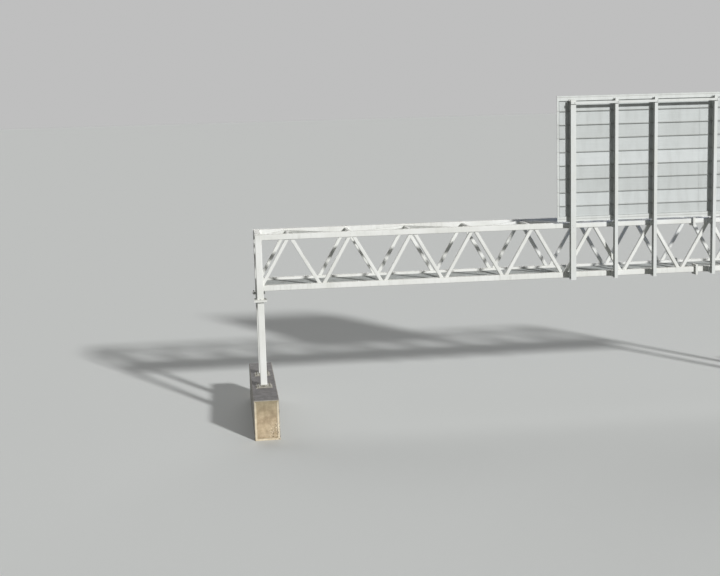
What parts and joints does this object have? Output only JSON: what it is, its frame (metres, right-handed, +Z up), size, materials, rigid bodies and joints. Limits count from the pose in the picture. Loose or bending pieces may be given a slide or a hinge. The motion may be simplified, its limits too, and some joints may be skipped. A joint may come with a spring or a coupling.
{
  "type": "overhead sign gantry",
  "caption": "Portal gantry for a road: a four-chord box truss on two pairs of legs and long concrete plinths, with a tall sign panel on I-section posts.",
  "frame": {"origin": "on the ground, midway between the two plinths and midway between the truss faces", "axes": "+X along the gantry, away from the end whose plinth is nearer the unsigned half; +Y from the face that carries the sign posts towards the other face; +Z up"},
  "size_m": [28.6, 7.78, 14.21],
  "materials": {
    "truss_steel": "white-grey paint over galvanised steel, weathered",
    "post_steel": "white-grey paint, weathered",
    "sign_back": "mill-finish extruded planks, dulled outdoors",
    "sign_front": "plain reflective sheeting, bare of lettering",
    "floor_grating": "galvanised open grating",
    "concrete": "board-marked concrete, sandy and stained"
  },
  "bodies": {
    "root": {"bottom_plan_bracing": "truss_steel", "chord_splice_far_bottom": "truss_steel", "chord_splice_far_top": "truss_steel", "chord_splice_near_bottom": "truss_steel", "chord_splice_near_top": "truss_steel", "end_crossbar_left_bottom": "truss_steel", "end_crossbar_left_top": "truss_steel", "end_crossbar_right_bottom": "truss_steel", "end_crossbar_right_top": "truss_steel", "end_post_left_far": "truss_steel", "end_post_left_near": "truss_steel", "end_post_right_far": "truss_steel", "end_post_right_near": "truss_steel", "far_truss_face": "truss_steel", "leg_left_far": "truss_steel", "leg_left_near": "truss_steel", "leg_right_far": "truss_steel", "leg_right_near": "truss_steel", "near_truss_face": "truss_steel", "plinth_left": "concrete", "plinth_right": "concrete", "post_brackets_1": "post_steel", "post_brackets_2": "post_steel", "post_brackets_3": "post_steel", "post_brackets_4": "post_steel", "sign_face": "sign_front", "sign_plank_1": "sign_back", "sign_plank_2": "sign_back", "sign_plank_3": "sign_back", "sign_plank_4": "sign_back", "sign_plank_5": "sign_back", "sign_plank_6": "sign_back", "sign_plank_7": "sign_back", "sign_plank_8": "sign_back", "sign_plank_9": "sign_back", "sign_post_1": "post_steel", "sign_post_2": "post_steel", "sign_post_3": "post_steel", "sign_post_4": "post_steel", "sign_rail": "post_steel", "sign_trim_bottom": "sign_back", "sign_trim_left": "sign_back", "sign_trim_right": "sign_back", "sign_trim_top": "sign_back", "top_plan_bracing": "truss_steel", "walkway_floor": "floor_grating"}
  },
  "joints": []
}
